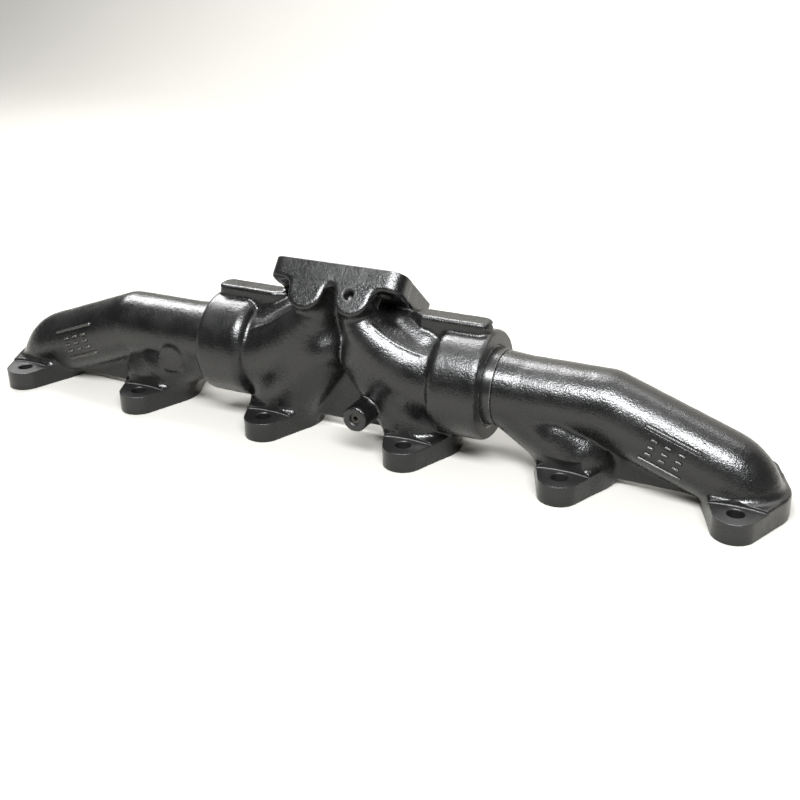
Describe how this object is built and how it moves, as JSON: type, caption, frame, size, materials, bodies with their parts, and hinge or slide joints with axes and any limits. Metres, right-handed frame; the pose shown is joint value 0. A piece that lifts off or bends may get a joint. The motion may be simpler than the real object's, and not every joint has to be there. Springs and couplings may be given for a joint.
{
  "type": "exhaust manifold",
  "caption": "Sectional cast-iron exhaust manifold with a divided turbo flange and ring-sealed slip joints between its castings.",
  "frame": {"origin": "middle of the port faces: midway between the two middle ports, in the plane that meets the cylinder head", "axes": "+X along the engine from port 1 to port 6, +Y across it to the side that the turbo flange leans to, +Z away from the cylinder head"},
  "size_m": [0.905, 0.142, 0.1897],
  "materials": {
    "cast_iron": "graphite black satin coating on sand-cast iron",
    "ring_steel": "ground seal rings",
    "plug_steel": "dark plated plug"
  },
  "bodies": {
    "centre": {"centre_casting": "cast_iron", "probe_plug": "plug_steel"},
    "left_rings": {"left_seal_ring_1": "ring_steel", "left_seal_ring_2": "ring_steel", "left_seal_ring_3": "ring_steel"},
    "right_rings": {"right_seal_ring_1": "ring_steel", "right_seal_ring_2": "ring_steel", "right_seal_ring_3": "ring_steel"},
    "left_end": {"left_end_casting": "cast_iron"},
    "right_end": {"right_end_casting": "cast_iron"}
  },
  "joints": [
    {"name": "left_slip", "type": "slide", "parent": "centre", "child": "left_rings", "axis": [-1, 0, 0], "range_m": [-0.005, 0.012]},
    {"name": "left_swivel", "type": "hinge", "parent": "left_rings", "child": "left_end", "pos_m": [-0.13, 0, 0.08], "axis": [-1, 0, 0], "continuous": true},
    {"name": "right_slip", "type": "slide", "parent": "centre", "child": "right_rings", "axis": [1, 0, 0], "range_m": [-0.005, 0.012]},
    {"name": "right_swivel", "type": "hinge", "parent": "right_rings", "child": "right_end", "pos_m": [0.13, 0, 0.08], "axis": [1, 0, 0], "continuous": true}
  ]
}
